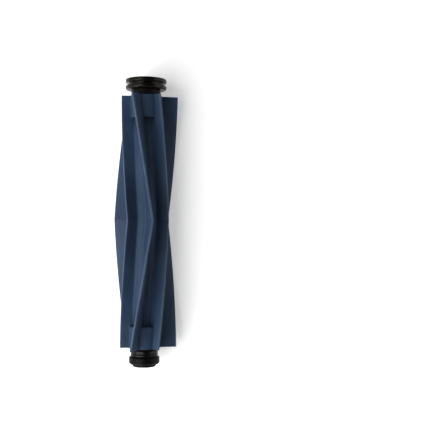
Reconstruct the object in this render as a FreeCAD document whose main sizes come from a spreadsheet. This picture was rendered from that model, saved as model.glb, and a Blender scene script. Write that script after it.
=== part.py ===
import FreeCAD, Part
import Sketcher
import math
import os
import re

# A robot vacuum's roller brush, lying on the floor as it comes to rest.
# The floor is Z = 0, the brush turns about a line along Y above the origin, and +Y is the idler end.

# Driving sizes: millimetres, degrees and counts.
sizes = {
    # Finned sleeve
    "sleeve_length": 167.0,
    "sleeve_radius": 8.0,
    "sleeve_bore_radius": 6.0,
    "collar_radius": 10.6,
    "collar_length": 15.0,
    "collar_round": 1.6,
    "tall_fin_radius": 21.3,
    "short_fin_radius": 16.2,
    "fin_tip_thickness": 1.3,
    "fin_root_thickness": 2.4,
    "fin_root_fillet": 1.2,
    "fin_twist": 39.0,
    "fin_pairs": 3,
    "crease_offset": 1.2,
    "key_width": 2.0,
    "key_height": 0.8,
    # Core tube
    "core_bore_radius": 4.0,
    "dog_width": 3.0,
    "dog_length": 4.0,
    # Idler plug and its pin
    "idler_spigot_length": 18.0,
    "neck_length": 3.6,
    "neck_floor": 1.7,
    "neck_wall": 0.9,
    "boss_height": 1.0,
    "boss_wall": 1.1,
    "pin_radius": 2.5,
    "pin_depth": 15.0,
    "pin_overhang": 0.9,
    "pin_chamfer": 0.4,
    "clip_thickness": 0.6,
    "clip_groove_depth": 0.5,
    "clip_width": 1.2,
    "clip_opening": 2.6,
    # Idler bearing
    "bearing_radius": 6.5,
    "bearing_width": 4.0,
    "ball_radius": 1.0,
    "ball_count": 7,
    "race_depth": 0.3,
    "shield_thickness": 0.3,
    "shield_inset": 0.25,
    "shield_step": 0.35,
    "cage_width": 2.6,
    "cage_wall": 0.6,
    "ring_chamfer": 0.2,
    # Idler spool and its cap
    "spool_radius": 13.6,
    "spool_groove_radius": 11.2,
    "spool_groove_width": 1.7,
    "inner_flange_width": 2.8,
    "outer_flange_width": 2.6,
    "flange_round": 0.7,
    "inner_flange_round": 1.3,
    "spool_wall": 1.9,
    "spool_lip": 0.8,
    "spool_cap_radius": 7.0,
    "spool_cap_thickness": 1.8,
    "spool_cap_inset": 0.4,
    "spool_cap_round": 0.5,
    # Drive hub
    "drive_spigot_length": 22.0,
    "hub_neck_radius": 8.0,
    "hub_neck_length": 1.4,
    "hub_ring_radius": 9.1,
    "hub_ring_length": 3.9,
    "hub_ring_round": 0.4,
    "hub_line_place": 2.4,
    "hub_line_radius": 0.45,
    "hub_groove_radius": 7.9,
    "hub_groove_length": 0.6,
    "hex_radius": 7.0,
    "hex_depth": 5.5,
    "screw_hole_depth": 10.0,
    # Drive cap and its screw
    "cap_ring_radius": 10.1,
    "cap_ring_length": 4.8,
    "cap_ring_chamfer": 0.5,
    "cap_ring_bevel": 0.8,
    "cap_boss_radius": 7.8,
    "cap_boss_length": 1.7,
    "cap_boss_round": 0.7,
    "socket_width": 7.4,
    "socket_floor": 1.5,
    "screw_radius": 1.25,
    "screw_length": 9.0,
    "screw_head_radius": 2.6,
    "screw_head_height": 1.8,
    "screw_head_round": 0.8,
    "screw_slot_width": 0.7,
    "screw_slot_depth": 0.9,
    # Clearances
    "press_gap": 0.02,
    "sleeve_gap": 0.05,
    "key_gap": 0.1,
    "race_gap": 0.02,
    "cage_gap": 0.05,
    "clip_gap": 0.05,
    "spin_gap": 0.4,
    "screw_gap": 0.25,
}

doc = FreeCAD.newDocument("roller_brush")
sheet = doc.addObject("Spreadsheet::Sheet", "Sizes")
for row, (alias, value) in enumerate(sizes.items(), start=1):
    sheet.set("A%d" % row, alias.replace("_", " "))
    sheet.set("B%d" % row, str(value))
    sheet.setAlias("B%d" % row, alias)
doc.recompute()

# Places and radii that several pieces share, worked out from the driving sizes.
sleeve_end = "sleeve_length / 2"
rest_angle = "(360 / fin_pairs - fin_twist) / 2"
axis_height = (
    "max(tall_fin_radius * cos(%s) + fin_tip_thickness / 2 * sin(%s);"
    " hypot(short_fin_radius; fin_tip_thickness / 2))" % (rest_angle, rest_angle)
)
tall_end_phase = "180 - fin_twist - %s" % rest_angle
short_end_phase = "%s + 180 / fin_pairs" % tall_end_phase
core_radius = "(sleeve_bore_radius - sleeve_gap)"
spigot_radius = "(core_bore_radius - press_gap)"
cup_floor = "(%s + neck_floor)" % sleeve_end
bearing_start = "(%s + boss_height)" % cup_floor
bearing_centre = "(%s + bearing_width / 2)" % bearing_start
bearing_end = "(%s + bearing_width)" % bearing_start
ball_pitch = "(pin_radius + bearing_radius) / 2"
inner_shoulder = "(%s - ball_radius + race_depth)" % ball_pitch
outer_shoulder = "(%s + ball_radius - race_depth)" % ball_pitch
shield_seat_radius = "(%s + shield_step)" % outer_shoulder
shield_depth = "(shield_inset + shield_thickness)"
clip_groove_radius = "(pin_radius - clip_groove_depth)"
clip_start = "(%s + clip_gap)" % bearing_end
clip_groove_end = "(%s + clip_thickness + clip_gap)" % clip_start
pin_end = "(%s + pin_overhang)" % clip_groove_end
barrel_radius = "(bearing_radius + spool_wall)"
cup_radius = "(%s + spin_gap)" % barrel_radius
neck_radius = "(%s + neck_wall)" % cup_radius
spool_start = "(%s + neck_length + spin_gap)" % sleeve_end
groove_start = "(%s + inner_flange_width)" % spool_start
groove_end = "(%s + spool_groove_width)" % groove_start
spool_end = "(%s + outer_flange_width)" % groove_end
cap_seat = "(%s - spool_cap_inset - spool_cap_thickness)" % spool_end
hub_ring_start = "(%s + hub_neck_length)" % sleeve_end
hub_ring_end = "(%s + hub_ring_length)" % hub_ring_start
hub_end = "(%s + hub_groove_length)" % hub_ring_end
hex_floor = "(%s - hex_depth)" % hub_end
tenon_start = "(%s + key_gap)" % hex_floor
socket_bottom = "(%s + socket_floor)" % tenon_start
cap_ring_end = "(%s + cap_ring_length)" % hub_end
drive_end = "(%s + cap_boss_length)" % cap_ring_end
sleeve_shift = "(%s - %s) / 2" % (drive_end, spool_end)


def bound(text):
    # Names of sizes in the text become references to the sheet.
    return re.sub(r"[a-z]+(_[a-z]+)+", lambda word: "Sizes." + word.group(), text)


def number(text):
    return float(sheet.evalExpression(bound(text)))


def new_body(label, turned_round=False):
    # Every piece is drawn about Y as the turning line, from the middle of the sleeve. It is then lifted
    # to its height above the floor and shifted so that the two ends lie equally far from the origin.
    body = doc.addObject("PartDesign::Body", label)
    body.Label = label
    half_turn = FreeCAD.Rotation(FreeCAD.Vector(0, 0, 1), 180 if turned_round else 0)
    place = FreeCAD.Vector(0, number(sleeve_shift), number(axis_height))
    body.Placement = FreeCAD.Placement(place, half_turn)
    body.setExpression("Placement.Base.y", bound(sleeve_shift))
    body.setExpression("Placement.Base.z", bound(axis_height))
    return body


def origin_feature(body, role):
    return next(item for item in body.Origin.OriginFeatures if item.Role == role)


def new_sketch(body, name, plane="XY_Plane", offset="0", angle="0"):
    sketch = body.newObject("Sketcher::SketchObject", name)
    sketch.AttachmentSupport = [(origin_feature(body, plane), "")]
    sketch.MapMode = "FlatFace"
    turn = FreeCAD.Rotation(FreeCAD.Vector(0, 0, 1), number(angle))
    sketch.AttachmentOffset = FreeCAD.Placement(FreeCAD.Vector(0, 0, number(offset)), turn)
    if offset != "0":
        sketch.setExpression("AttachmentOffset.Base.z", bound(offset))
    if angle != "0":
        sketch.setExpression("AttachmentOffset.Rotation.Angle", bound(angle))
    return sketch


def across_sketch(body, name, height, angle="0"):
    # A cross-section at a height along the turning line. The plane's own normal points along -Y.
    return new_sketch(body, name, "XZ_Plane", "-(%s)" % height, angle)


def hold(sketch, kind, index, corner, text):
    # Ties one coordinate of a point to the sizes, measured from the sketch's origin.
    value = number(text)
    if abs(value) < 1e-9:
        axis = -2 if kind == "DistanceX" else -1
        sketch.addConstraint(Sketcher.Constraint("PointOnObject", index, corner, axis))
        return
    if value > 0:
        made = sketch.addConstraint(Sketcher.Constraint(kind, -1, 1, index, corner, value))
        sketch.setExpression("Constraints[%d]" % made, bound(text))
    else:
        made = sketch.addConstraint(Sketcher.Constraint(kind, index, corner, -1, 1, -value))
        sketch.setExpression("Constraints[%d]" % made, bound("-(%s)" % text))


def outline(sketch, corners):
    # A closed outline of straight lines through the given corners.
    points = [FreeCAD.Vector(number(across), number(up), 0) for across, up in corners]
    first = sketch.GeometryCount
    count = len(points)
    for step in range(count):
        sketch.addGeometry(Part.LineSegment(points[step], points[(step + 1) % count]))
    for step in range(count):
        following = first + (step + 1) % count
        sketch.addConstraint(Sketcher.Constraint("Coincident", first + step, 2, following, 1))
    for step, (across, up) in enumerate(corners):
        hold(sketch, "DistanceX", first + step, 1, across)
        hold(sketch, "DistanceY", first + step, 1, up)


def circle(sketch, radius, across="0", up="0"):
    centre = FreeCAD.Vector(number(across), number(up), 0)
    index = sketch.addGeometry(Part.Circle(centre, FreeCAD.Vector(0, 0, 1), number(radius)))
    made = sketch.addConstraint(Sketcher.Constraint("Radius", index, number(radius)))
    sketch.setExpression("Constraints[%d]" % made, bound(radius))
    hold(sketch, "DistanceX", index, 3, across)
    hold(sketch, "DistanceY", index, 3, up)


def rectangle(sketch, left, right, low, high):
    outline(sketch, [(left, low), (right, low), (right, high), (left, high)])


def turned(body, name, corners):
    # A lathe-turned form: corners are (radius, height along the turning line).
    sketch = new_sketch(body, name + "_profile")
    outline(sketch, corners)
    feature = body.newObject("PartDesign::Revolution", name)
    feature.Profile = sketch
    feature.ReferenceAxis = (sketch, ["V_Axis"])
    feature.Angle = 360
    doc.recompute()
    return feature


def ring_groove(body, name, radius, across, up):
    # A groove of round section all the way round.
    sketch = new_sketch(body, name + "_profile")
    circle(sketch, radius, across, up)
    feature = body.newObject("PartDesign::Groove", name)
    feature.Profile = sketch
    feature.ReferenceAxis = (sketch, ["V_Axis"])
    feature.Angle = 360
    doc.recompute()
    return feature


def raised(body, name, sketch, length):
    # Material added from a cross-section towards -Y.
    feature = body.newObject("PartDesign::Pad", name)
    feature.Profile = sketch
    feature.Length = number(length)
    feature.setExpression("Length", bound(length))
    doc.recompute()
    return feature


def sunk(body, name, sketch, depth, inwards):
    # Material taken away from a cross-section, towards +Y or, inwards from the far end, towards -Y.
    before = body.Shape.Volume
    feature = body.newObject("PartDesign::Pocket", name)
    feature.Profile = sketch
    feature.Length = number(depth)
    feature.setExpression("Length", bound(depth))
    feature.Reversed = inwards
    doc.recompute()
    if body.Shape.Volume > before - 1e-6:
        raise RuntimeError("%s of %s cuts nothing" % (name, body.Label))
    return feature


def round_the_axis(body, name, originals, count):
    feature = body.newObject("PartDesign::PolarPattern", name)
    feature.Originals = originals
    feature.Axis = (origin_feature(body, "Y_Axis"), [""])
    feature.Angle = 360
    feature.Occurrences = int(number(count))
    if count in sizes:
        feature.setExpression("Occurrences", bound(count))
    body.Tip = feature
    doc.recompute()
    return feature


def rims(body, *places):
    # Names of the circular edges at the given (radius, height) places.
    found = []
    # The edges are read in the body's own frame, where the turning line is Y.
    shape = body.Tip.Shape
    for place, edge in enumerate(shape.Edges, start=1):
        if not isinstance(edge.Curve, Part.Circle):
            continue
        for radius, height in places:
            same_size = abs(edge.Curve.Radius - number(radius)) < 1e-4
            if same_size and abs(edge.Curve.Center.y - number(height)) < 1e-4:
                found.append("Edge%d" % place)
    if len(found) < len(places):
        raise RuntimeError("%s lacks a rim" % body.Label)
    return found


def softened(body, name, size, *places):
    edges = rims(body, *places)
    base = body.Tip
    feature = body.newObject("PartDesign::Fillet", name)
    feature.Base = (base, edges)
    feature.Radius = number(size)
    feature.setExpression("Radius", bound(size))
    doc.recompute()
    return feature


def bevelled(body, name, size, *places):
    edges = rims(body, *places)
    base = body.Tip
    feature = body.newObject("PartDesign::Chamfer", name)
    feature.Base = (base, edges)
    feature.Size = number(size)
    feature.setExpression("Size", bound(size))
    doc.recompute()
    return feature


def fin_section(body, name, tip_radius, end_phase, end, share):
    # One cut across a fin. share is 0 at the crease and 1 at the given end of the sleeve,
    # and the fin leans round by the twist from the ends to the crease.
    height = "crease_offset + (%s - crease_offset) * (%s)" % (end, share)
    phase = "-(%s + fin_twist * (1 - %s))" % (end_phase, share)
    sketch = across_sketch(body, name, height, phase)
    foot = "(sleeve_radius + sleeve_bore_radius) / 2 - fin_root_fillet / 4"
    half_tip = "fin_tip_thickness / 2"
    half_root = "fin_root_thickness / 2"
    half_foot = "(fin_root_thickness / 2 + fin_root_fillet)"
    fillet_height = "(sleeve_radius + fin_root_fillet / 2)"
    toe_height = "%s - fin_root_fillet" % fillet_height

    def at(across, up):
        return FreeCAD.Vector(number(across), number(up), 0)

    def fillet_arc(side, start, end):
        centre = at(side + half_foot, fillet_height)
        full = Part.Circle(centre, FreeCAD.Vector(0, 0, 1), number("fin_root_fillet"))
        return Part.ArcOfCircle(full, math.radians(start), math.radians(end))

    tip, right_side, left_side, foot_line, right_toe, left_toe = (
        sketch.addGeometry(Part.LineSegment(at(*start), at(*end)))
        for start, end in (
            (("-" + half_tip, tip_radius), (half_tip, tip_radius)),
            ((half_tip, tip_radius), (half_root, fillet_height)),
            (("-" + half_root, fillet_height), ("-" + half_tip, tip_radius)),
            ((half_foot, foot), ("-" + half_foot, foot)),
            ((half_foot, toe_height), (half_foot, foot)),
            (("-" + half_foot, foot), ("-" + half_foot, toe_height)),
        )
    )
    right_arc = sketch.addGeometry(fillet_arc("", 180, 270))
    left_arc = sketch.addGeometry(fillet_arc("-", 270, 360))
    for one, one_end, other, other_end in (
        (tip, 2, right_side, 1), (right_side, 2, right_arc, 1), (right_arc, 2, right_toe, 1),
        (right_toe, 2, foot_line, 1), (foot_line, 2, left_toe, 1), (left_toe, 2, left_arc, 1),
        (left_arc, 2, left_side, 1), (left_side, 2, tip, 1),
    ):
        sketch.addConstraint(Sketcher.Constraint("Coincident", one, one_end, other, other_end))
    for index, corner, across, up in (
        (tip, 1, "-" + half_tip, tip_radius), (tip, 2, half_tip, tip_radius),
        (right_arc, 3, half_foot, fillet_height), (left_arc, 3, "-" + half_foot, fillet_height),
        (foot_line, 1, half_foot, foot), (foot_line, 2, "-" + half_foot, foot),
    ):
        hold(sketch, "DistanceX", index, corner, across)
        hold(sketch, "DistanceY", index, corner, up)
    for arc, upright_end in ((right_arc, 2), (left_arc, 1)):
        made = sketch.addConstraint(Sketcher.Constraint("Radius", arc, number("fin_root_fillet")))
        sketch.setExpression("Constraints[%d]" % made, bound("fin_root_fillet"))
        level_end = 3 - upright_end
        sketch.addConstraint(Sketcher.Constraint("Horizontal", arc, level_end, arc, 3))
        sketch.addConstraint(Sketcher.Constraint("Vertical", arc, upright_end, arc, 3))
    return sketch


def fin(body, name, tip_radius, end_phase):
    # The two halves of one V-shaped fin, lofted from the crease to each end.
    crease = fin_section(body, name + "_crease", tip_radius, end_phase, sleeve_end, "0")
    halves = []
    for side, end in (("idler", sleeve_end), ("drive", "-" + sleeve_end)):
        sections = []
        for third in (1, 2, 3):
            label = "%s_%s_%d" % (name, side, third)
            sections.append(fin_section(body, label, tip_radius, end_phase, end, "%d / 3" % third))
        half = body.newObject("PartDesign::AdditiveLoft", "%s_%s_half" % (name, side))
        half.Profile = crease
        half.Sections = sections
        doc.recompute()
        halves.append(half)
    return halves


def make_fin_sleeve():
    body = new_body("fin_sleeve")
    collar_start = "(%s - collar_length)" % sleeve_end
    turned(body, "sleeve_tube", [
        ("sleeve_bore_radius", "-" + sleeve_end),
        ("collar_radius", "-" + sleeve_end),
        ("collar_radius", "-" + collar_start),
        ("sleeve_radius", "-" + collar_start),
        ("sleeve_radius", collar_start),
        ("collar_radius", collar_start),
        ("collar_radius", sleeve_end),
        ("sleeve_bore_radius", sleeve_end),
    ])
    softened(body, "collar_edges", "collar_round",
             ("collar_radius", "-" + collar_start), ("collar_radius", collar_start))
    fins = fin(body, "tall_fin", "tall_fin_radius", tall_end_phase)
    fins += fin(body, "short_fin", "short_fin_radius", short_end_phase)
    round_the_axis(body, "fin_ring", fins, "fin_pairs")
    keyway = across_sketch(body, "keyway_section", "-" + sleeve_end)
    half_width = "(key_width / 2 + key_gap)"
    rectangle(keyway, "-" + half_width, half_width, "0", "(sleeve_bore_radius + key_height)")
    cut = sunk(body, "keyway", keyway, "sleeve_length", False)
    round_the_axis(body, "keyways", [cut], "2")
    return body


def make_core_tube():
    body = new_body("core_tube")
    turned(body, "tube", [
        ("core_bore_radius", "-" + sleeve_end),
        (core_radius, "-" + sleeve_end),
        (core_radius, sleeve_end),
        ("core_bore_radius", sleeve_end),
    ])
    key = across_sketch(body, "key_section", sleeve_end)
    key_foot = "(%s + core_bore_radius) / 2" % core_radius
    key_top = "(%s + key_height - sleeve_gap)" % core_radius
    rectangle(key, "-key_width / 2", "key_width / 2", key_foot, key_top)
    rib = raised(body, "key", key, "sleeve_length")
    round_the_axis(body, "keys", [rib], "2")
    notch = across_sketch(body, "dog_notch_section", "-" + sleeve_end)
    half_width = "(dog_width / 2 + key_gap)"
    rectangle(notch, "0", "(sleeve_bore_radius + key_height)", "-" + half_width, half_width)
    cut = sunk(body, "dog_notch", notch, "dog_length + key_gap", False)
    round_the_axis(body, "dog_notches", [cut], "2")
    return body


def make_idler_plug():
    body = new_body("idler_plug")
    boss_radius = "(pin_radius + boss_wall)"
    pin_floor = "(%s - pin_depth)" % sleeve_end
    turned(body, "plug", [
        ("0", "(%s - idler_spigot_length)" % sleeve_end),
        (spigot_radius, "(%s - idler_spigot_length)" % sleeve_end),
        (spigot_radius, sleeve_end),
        (neck_radius, sleeve_end),
        (neck_radius, "(%s + neck_length)" % sleeve_end),
        (cup_radius, "(%s + neck_length)" % sleeve_end),
        (cup_radius, cup_floor),
        (boss_radius, cup_floor),
        (boss_radius, bearing_start),
        ("(pin_radius + press_gap)", bearing_start),
        ("(pin_radius + press_gap)", pin_floor),
        ("0", pin_floor),
    ])
    return body


def make_axle_pin():
    body = new_body("axle_pin")
    pin_start = "(%s - pin_depth)" % sleeve_end
    turned(body, "pin", [
        ("0", pin_start),
        ("pin_radius", pin_start),
        ("pin_radius", bearing_end),
        (clip_groove_radius, bearing_end),
        (clip_groove_radius, clip_groove_end),
        ("pin_radius", clip_groove_end),
        ("pin_radius", pin_end),
        ("0", pin_end),
    ])
    bevelled(body, "pin_ends", "pin_chamfer", ("pin_radius", pin_start), ("pin_radius", pin_end))
    return body


def make_retaining_clip():
    body = new_body("retaining_clip")
    clip_top = "(%s + clip_thickness)" % clip_start
    turned(body, "clip_ring", [
        ("(%s + press_gap)" % clip_groove_radius, clip_start),
        ("(%s + clip_width)" % clip_groove_radius, clip_start),
        ("(%s + clip_width)" % clip_groove_radius, clip_top),
        ("(%s + press_gap)" % clip_groove_radius, clip_top),
    ])
    opening = across_sketch(body, "clip_opening_section", clip_start)
    rectangle(opening, "-clip_opening / 2", "clip_opening / 2", "0", "(pin_radius + clip_width)")
    sunk(body, "clip_mouth", opening, "clip_thickness", False)
    return body


def make_bearing_inner_ring():
    body = new_body("bearing_inner_ring")
    turned(body, "inner_ring", [
        ("(pin_radius + press_gap)", bearing_start),
        (inner_shoulder, bearing_start),
        (inner_shoulder, bearing_end),
        ("(pin_radius + press_gap)", bearing_end),
    ])
    ring_groove(body, "inner_race", "(ball_radius + race_gap)", ball_pitch, bearing_centre)
    bevelled(body, "inner_ring_edges", "ring_chamfer",
             (inner_shoulder, bearing_start), (inner_shoulder, bearing_end))
    return body


def make_bearing_outer_ring():
    body = new_body("bearing_outer_ring")
    low_seat = "(%s + %s)" % (bearing_start, shield_depth)
    high_seat = "(%s - %s)" % (bearing_end, shield_depth)
    turned(body, "outer_ring", [
        ("bearing_radius", bearing_start),
        ("bearing_radius", bearing_end),
        (shield_seat_radius, bearing_end),
        (shield_seat_radius, high_seat),
        (outer_shoulder, high_seat),
        (outer_shoulder, low_seat),
        (shield_seat_radius, low_seat),
        (shield_seat_radius, bearing_start),
    ])
    ring_groove(body, "outer_race", "(ball_radius + race_gap)", ball_pitch, bearing_centre)
    bevelled(body, "outer_ring_edges", "ring_chamfer",
             ("bearing_radius", bearing_start), ("bearing_radius", bearing_end))
    return body


def make_bearing_cage():
    body = new_body("bearing_cage")
    turned(body, "cage_ring", [
        ("(%s - cage_wall / 2)" % ball_pitch, "(%s - cage_width / 2)" % bearing_centre),
        ("(%s + cage_wall / 2)" % ball_pitch, "(%s - cage_width / 2)" % bearing_centre),
        ("(%s + cage_wall / 2)" % ball_pitch, "(%s + cage_width / 2)" % bearing_centre),
        ("(%s - cage_wall / 2)" % ball_pitch, "(%s + cage_width / 2)" % bearing_centre),
    ])
    before = body.Shape.Volume
    pocket = body.newObject("PartDesign::SubtractiveSphere", "ball_pocket")
    pocket.Radius = number("ball_radius + cage_gap")
    pocket.setExpression("Radius", bound("ball_radius + cage_gap"))
    pocket.AttachmentSupport = [(origin_feature(body, "XZ_Plane"), "")]
    pocket.MapMode = "FlatFace"
    pocket.AttachmentOffset = FreeCAD.Placement(
        FreeCAD.Vector(0, number(ball_pitch), -number(bearing_centre)), FreeCAD.Rotation())
    pocket.setExpression("AttachmentOffset.Base.y", bound(ball_pitch))
    pocket.setExpression("AttachmentOffset.Base.z", bound("-" + bearing_centre))
    doc.recompute()
    if body.Shape.Volume > before - 1e-6:
        raise RuntimeError("the cage has no ball pocket")
    round_the_axis(body, "ball_pockets", [pocket], "ball_count")
    return body


def make_ball(place):
    # Ball 1 lies straight above the turning line and the others follow at equal steps.
    ball = doc.addObject("Part::Sphere", "ball_%d" % place)
    ball.Label = "ball_%d" % place
    ball.Radius = number("ball_radius")
    ball.setExpression("Radius", bound("ball_radius"))
    turn = "360 / ball_count * %d" % (place - 1)
    across = "%s * sin(%s)" % (ball_pitch, turn)
    along = "%s + %s" % (bearing_centre, sleeve_shift)
    up = "%s + %s * cos(%s)" % (axis_height, ball_pitch, turn)
    ball.Placement = FreeCAD.Placement(
        FreeCAD.Vector(number(across), number(along), number(up)), FreeCAD.Rotation())
    ball.setExpression("Placement.Base.x", bound(across))
    ball.setExpression("Placement.Base.y", bound(along))
    ball.setExpression("Placement.Base.z", bound(up))
    return ball


def make_bearing_shield(label, start):
    body = new_body(label)
    top = "(%s + shield_thickness)" % start
    inside = "(%s + race_depth)" % inner_shoulder
    turned(body, "shield", [
        (inside, start),
        ("(%s - press_gap)" % shield_seat_radius, start),
        ("(%s - press_gap)" % shield_seat_radius, top),
        (inside, top),
    ])
    return body


def make_bearing_spool():
    body = new_body("bearing_spool")
    barrel_start = "(%s + spin_gap)" % cup_floor
    seat_radius = "(bearing_radius + press_gap)"
    lip_radius = "(bearing_radius - spool_lip)"
    turned(body, "spool", [
        (seat_radius, barrel_start),
        (barrel_radius, barrel_start),
        (barrel_radius, spool_start),
        ("spool_radius", spool_start),
        ("spool_radius", groove_start),
        ("spool_groove_radius", groove_start),
        ("spool_groove_radius", groove_end),
        ("spool_radius", groove_end),
        ("spool_radius", spool_end),
        ("(spool_cap_radius + press_gap)", spool_end),
        ("(spool_cap_radius + press_gap)", cap_seat),
        (lip_radius, cap_seat),
        (lip_radius, bearing_end),
        (seat_radius, bearing_end),
    ])
    softened(body, "sleeve_side_edge", "inner_flange_round", ("spool_radius", spool_start))
    softened(body, "flange_edges", "flange_round", ("spool_radius", groove_start),
             ("spool_radius", groove_end), ("spool_radius", spool_end))
    return body


def make_spool_cap():
    body = new_body("spool_cap")
    top = "(%s + spool_cap_thickness)" % cap_seat
    turned(body, "cap_disc", [
        ("0", cap_seat),
        ("spool_cap_radius", cap_seat),
        ("spool_cap_radius", top),
        ("0", top),
    ])
    softened(body, "cap_edge", "spool_cap_round", ("spool_cap_radius", top))
    return body


def hexagon(sketch, radius):
    # Two corners lie on the sketch's level axis.
    outline(sketch, [
        (radius, "0"),
        ("%s / 2" % radius, "%s * sin(60)" % radius),
        ("-%s / 2" % radius, "%s * sin(60)" % radius),
        ("-" + radius, "0"),
        ("-%s / 2" % radius, "-%s * sin(60)" % radius),
        ("%s / 2" % radius, "-%s * sin(60)" % radius),
    ])


def make_drive_hub():
    body = new_body("drive_hub", turned_round=True)
    turned(body, "hub", [
        ("0", "(%s - drive_spigot_length)" % sleeve_end),
        (spigot_radius, "(%s - drive_spigot_length)" % sleeve_end),
        (spigot_radius, sleeve_end),
        ("hub_neck_radius", sleeve_end),
        ("hub_neck_radius", hub_ring_start),
        ("hub_ring_radius", hub_ring_start),
        ("hub_ring_radius", hub_ring_end),
        ("hub_groove_radius", hub_ring_end),
        ("hub_groove_radius", hub_end),
        ("0", hub_end),
    ])
    softened(body, "hub_ring_edges", "hub_ring_round",
             ("hub_ring_radius", hub_ring_start), ("hub_ring_radius", hub_ring_end))
    ring_groove(body, "hub_line", "hub_line_radius", "hub_ring_radius",
                "(%s + hub_line_place)" % hub_ring_start)
    dog = across_sketch(body, "dog_section", sleeve_end)
    dog_reach = "sqrt(%s ^ 2 - (dog_width / 2) ^ 2)" % core_radius
    rectangle(dog, "0", dog_reach, "-dog_width / 2", "dog_width / 2")
    lug = raised(body, "dog", dog, "dog_length")
    round_the_axis(body, "dogs", [lug], "2")
    recess = across_sketch(body, "hex_section", hub_end)
    hexagon(recess, "hex_radius")
    sunk(body, "hex_recess", recess, "hex_depth", True)
    hole = across_sketch(body, "screw_hole_section", hex_floor)
    circle(hole, "(screw_radius + press_gap)")
    sunk(body, "screw_hole", hole, "screw_hole_depth", True)
    return body


def make_drive_cap():
    body = new_body("drive_cap", turned_round=True)
    turned(body, "cap", [
        ("0", hub_end),
        ("cap_ring_radius", hub_end),
        ("cap_ring_radius", cap_ring_end),
        ("cap_boss_radius", cap_ring_end),
        ("cap_boss_radius", drive_end),
        ("0", drive_end),
    ])
    bevelled(body, "cap_ring_foot", "cap_ring_chamfer", ("cap_ring_radius", hub_end))
    bevelled(body, "cap_ring_shoulder", "cap_ring_bevel", ("cap_ring_radius", cap_ring_end))
    softened(body, "cap_boss_edge", "cap_boss_round", ("cap_boss_radius", drive_end))
    tenon = across_sketch(body, "tenon_section", hub_end)
    hexagon(tenon, "(hex_radius - key_gap)")
    raised(body, "tenon", tenon, "%s - %s" % (hub_end, tenon_start))
    socket = across_sketch(body, "socket_section", drive_end)
    rectangle(socket, "-socket_width / 2", "socket_width / 2", "-socket_width / 2", "socket_width / 2")
    sunk(body, "socket", socket, "%s - %s" % (drive_end, socket_bottom), True)
    hole = across_sketch(body, "floor_hole_section", socket_bottom)
    circle(hole, "(screw_radius + screw_gap)")
    sunk(body, "floor_hole", hole, "socket_floor", True)
    return body


def make_cap_screw():
    body = new_body("cap_screw", turned_round=True)
    head_top = "(%s + screw_head_height)" % socket_bottom
    point = "(%s - screw_length)" % socket_bottom
    turned(body, "screw", [
        ("0", point),
        ("screw_radius", point),
        ("screw_radius", socket_bottom),
        ("screw_head_radius", socket_bottom),
        ("screw_head_radius", head_top),
        ("0", head_top),
    ])
    softened(body, "head_edge", "screw_head_round", ("screw_head_radius", head_top))
    bevelled(body, "screw_point", "screw_radius / 2", ("screw_radius", point))
    reach = "(screw_head_radius - screw_head_round)"
    for name, across, up in (("level_slot", reach, "screw_slot_width / 2"),
                             ("upright_slot", "screw_slot_width / 2", reach)):
        slot = across_sketch(body, name + "_section", head_top)
        rectangle(slot, "-" + across, across, "-" + up, up)
        sunk(body, name, slot, "screw_slot_depth", True)
    return body


pieces = [
    make_fin_sleeve(),
    make_core_tube(),
    make_idler_plug(),
    make_axle_pin(),
    make_retaining_clip(),
    make_bearing_inner_ring(),
    make_bearing_outer_ring(),
    make_bearing_cage(),
    make_bearing_shield("bearing_shield_inner", "(%s + shield_inset)" % bearing_start),
    make_bearing_shield("bearing_shield_outer", "(%s - %s)" % (bearing_end, shield_depth)),
    make_bearing_spool(),
    make_spool_cap(),
    make_drive_hub(),
    make_drive_cap(),
    make_cap_screw(),
]
pieces += [make_ball(place) for place in range(1, int(number("ball_count")) + 1)]
doc.recompute()

for item in doc.Objects:
    if "Invalid" in item.State or "Error" in item.State:
        raise RuntimeError("%s did not build" % item.Label)
for piece in pieces:
    if piece.Shape.isNull() or not piece.Shape.isValid():
        raise RuntimeError("%s has no sound shape" % piece.Label)

os.makedirs("parts", exist_ok=True)
for piece in pieces:
    piece.Shape.exportStep("parts/%s.step" % piece.Label)
    print("%-22s %8.1f mm3" % (piece.Label, piece.Shape.Volume))
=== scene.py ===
import math
import bmesh
import bpy
from mathutils import Matrix, Vector


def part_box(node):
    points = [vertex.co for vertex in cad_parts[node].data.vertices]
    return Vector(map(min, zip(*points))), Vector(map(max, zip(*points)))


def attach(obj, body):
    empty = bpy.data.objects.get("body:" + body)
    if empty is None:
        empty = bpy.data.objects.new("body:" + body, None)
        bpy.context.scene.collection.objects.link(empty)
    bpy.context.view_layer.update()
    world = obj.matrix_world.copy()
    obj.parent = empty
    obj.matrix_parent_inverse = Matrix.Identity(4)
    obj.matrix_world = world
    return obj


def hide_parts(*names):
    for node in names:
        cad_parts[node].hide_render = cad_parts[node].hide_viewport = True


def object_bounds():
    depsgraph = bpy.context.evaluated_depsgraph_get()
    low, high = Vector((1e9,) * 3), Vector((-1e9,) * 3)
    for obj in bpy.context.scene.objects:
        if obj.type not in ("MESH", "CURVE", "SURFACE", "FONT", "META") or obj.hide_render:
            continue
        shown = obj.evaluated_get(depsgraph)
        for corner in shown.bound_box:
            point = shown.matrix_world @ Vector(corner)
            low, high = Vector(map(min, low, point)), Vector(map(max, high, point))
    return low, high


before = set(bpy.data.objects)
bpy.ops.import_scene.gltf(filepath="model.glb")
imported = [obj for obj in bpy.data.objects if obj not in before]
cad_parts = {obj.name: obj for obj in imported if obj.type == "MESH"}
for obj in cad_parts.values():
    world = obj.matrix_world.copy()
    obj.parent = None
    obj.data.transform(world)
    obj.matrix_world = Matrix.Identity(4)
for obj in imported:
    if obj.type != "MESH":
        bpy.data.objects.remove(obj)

mm = 0.001
weldGap = 0.002 * mm      # points nearer than this become one
hair = 1e-6               # places nearer than this count as the same
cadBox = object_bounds()
spoolLow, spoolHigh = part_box("bearing_spool")
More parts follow.
